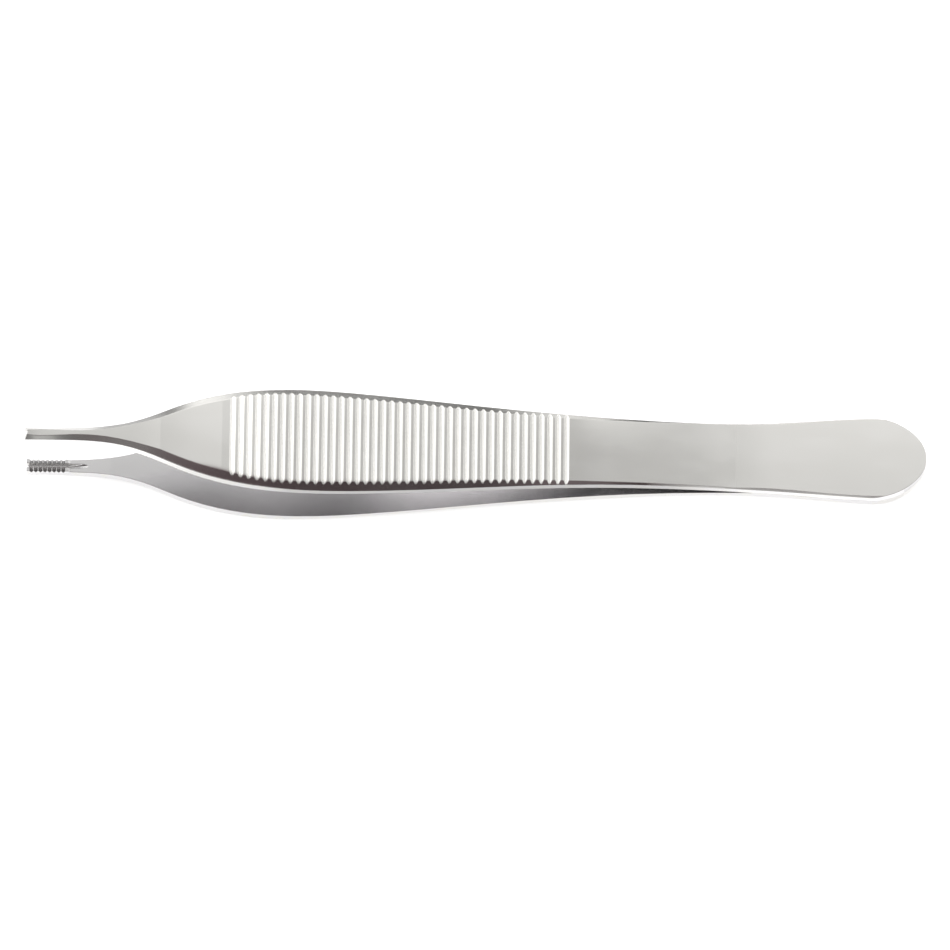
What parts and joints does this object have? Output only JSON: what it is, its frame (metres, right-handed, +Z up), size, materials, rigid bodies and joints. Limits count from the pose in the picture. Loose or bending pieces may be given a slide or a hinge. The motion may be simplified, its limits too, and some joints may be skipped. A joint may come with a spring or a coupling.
{
  "type": "thumb forceps",
  "caption": "Thumb forceps: spring leaves welded at a rounded butt, with serrated finger grips, narrow shanks and toothed jaws that grip along their sides.",
  "frame": {"origin": "centre of the footprint, on the surface that the forceps lie on", "axes": "+X from the jaws to the butt, +Y across the leaves, +Z up; the forceps lie on the lower leaf"},
  "size_m": [0.1202, 0.0148, 0.0134],
  "materials": {
    "steel": "satin"
  },
  "bodies": {
    "root": {"upper_leaf": "steel", "lower_leaf": "steel"}
  },
  "joints": []
}
